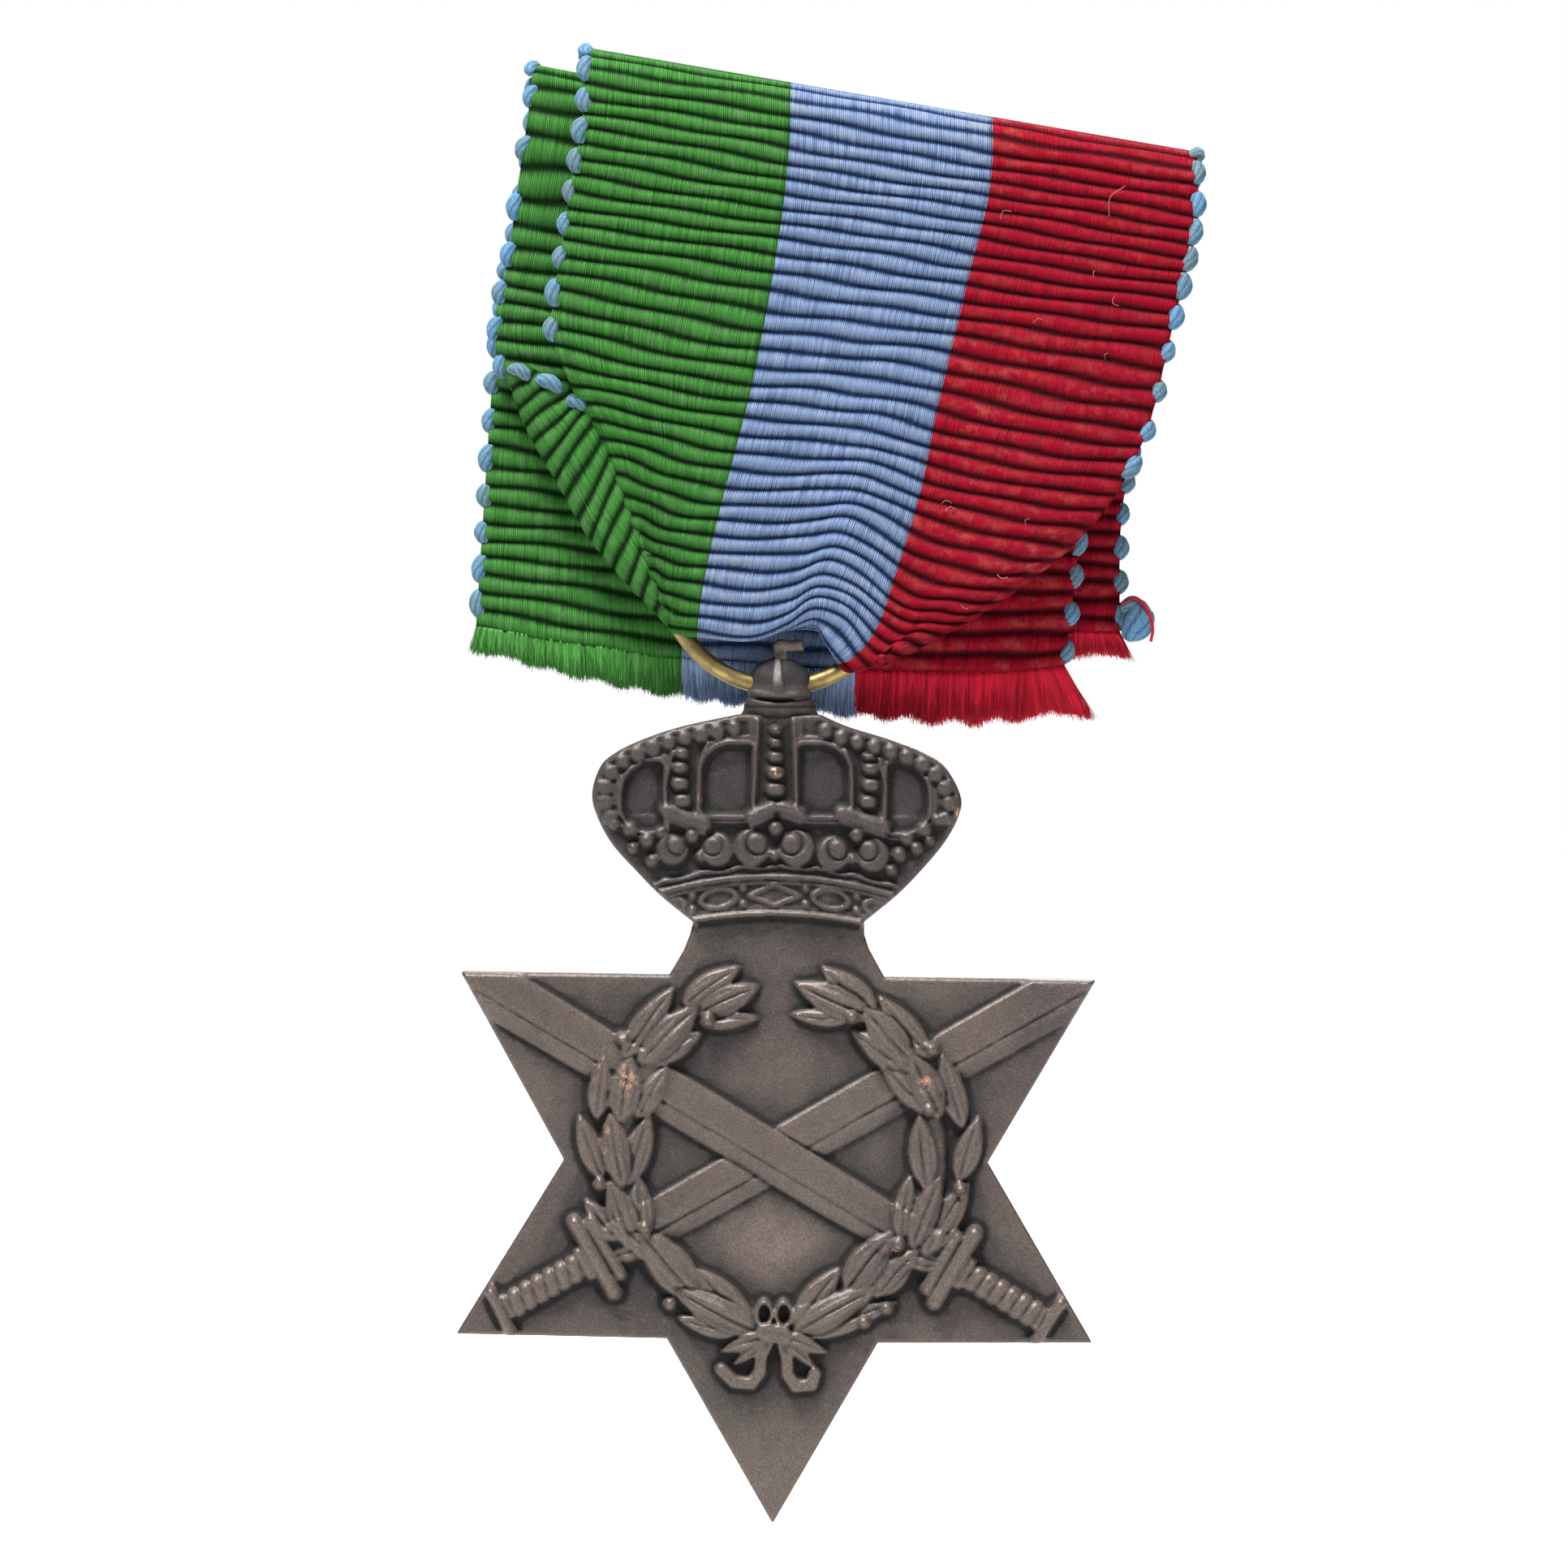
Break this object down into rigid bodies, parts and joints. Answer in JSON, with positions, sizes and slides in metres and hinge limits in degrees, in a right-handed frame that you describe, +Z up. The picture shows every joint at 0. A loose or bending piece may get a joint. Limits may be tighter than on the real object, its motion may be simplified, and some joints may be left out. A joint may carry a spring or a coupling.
{
  "type": "star-shaped service medal",
  "caption": "Six-pointed bronze service medal with crown, crossed swords and laurel wreath, hung by a brass ring from a folded green, blue and red ribbon.",
  "frame": {"origin": "inside the ribbon's top loop, where a brooch bar goes, straight above the medal's middle", "axes": "+Z up along the hanging medal, +Y towards its back (the wearer's chest), +X to the right as seen from the front"},
  "size_m": [0.0474, 0.006, 0.0938],
  "materials": {
    "struck_bronze": "dark brown patina, satin, lighter on high points",
    "ring_brass": "dull aged brass wire",
    "ribbon_green": "ribbed silk-like weave",
    "ribbon_blue": "ribbed silk-like weave",
    "ribbon_red": "ribbed silk-like weave",
    "picot_blue": "twisted weft loops"
  },
  "bodies": {
    "ribbon": {"front_fall_green": "ribbon_green", "front_fall_blue": "ribbon_blue", "front_fall_red": "ribbon_red", "rear_fall_green": "ribbon_green", "rear_fall_blue": "ribbon_blue", "rear_fall_red": "ribbon_red", "inner_tail_green": "ribbon_green", "inner_tail_blue": "ribbon_blue", "inner_tail_red": "ribbon_red", "outer_tail_green": "ribbon_green", "outer_tail_blue": "ribbon_blue", "outer_tail_red": "ribbon_red", "outer_loop_green": "ribbon_green", "outer_loop_blue": "ribbon_blue", "outer_loop_red": "ribbon_red", "inner_loop_green": "ribbon_green", "inner_loop_blue": "ribbon_blue", "inner_loop_red": "ribbon_red", "rear_fall_turned_margin": "ribbon_green", "ribbon_bight": "ribbon_blue", "front_fall_picots_left": "picot_blue", "front_fall_picots_right": "picot_blue", "rear_fall_picots_left": "picot_blue", "rear_fall_picots_right": "picot_blue", "inner_tail_picots_left": "picot_blue", "inner_tail_picots_right": "picot_blue", "outer_tail_picots_left": "picot_blue", "outer_tail_picots_right": "picot_blue", "inner_tail_fringe_green": "ribbon_green", "inner_tail_fringe_blue": "ribbon_blue", "inner_tail_fringe_red": "ribbon_red", "outer_tail_fringe_green": "ribbon_green", "outer_tail_fringe_blue": "ribbon_blue", "outer_tail_fringe_red": "ribbon_red"},
    "ring": {"suspension_ring": "ring_brass"},
    "medal": {"star_plate": "struck_bronze", "left_blade_sword": "struck_bronze", "right_blade_sword": "struck_bronze", "laurel_branch_left": "struck_bronze", "laurel_branch_right": "struck_bronze", "wreath_bow": "struck_bronze", "crown_cap": "struck_bronze", "crown_arches": "struck_bronze", "crown_arch_beads": "struck_bronze", "crown_leaves": "struck_bronze", "crown_band": "struck_bronze", "orb_and_cross": "struck_bronze"}
  },
  "joints": [
    {"name": "ring_swing", "type": "hinge", "parent": "ribbon", "child": "ring", "pos_m": [0, -0.0018, -0.0287], "axis": [0, 1, 0], "range_deg": [-10, 10]},
    {"name": "medal_nod", "type": "hinge", "parent": "ring", "child": "medal", "pos_m": [0, -0.0018, -0.03615], "axis": [-1, 0, 0], "range_deg": [-15, 30]}
  ]
}
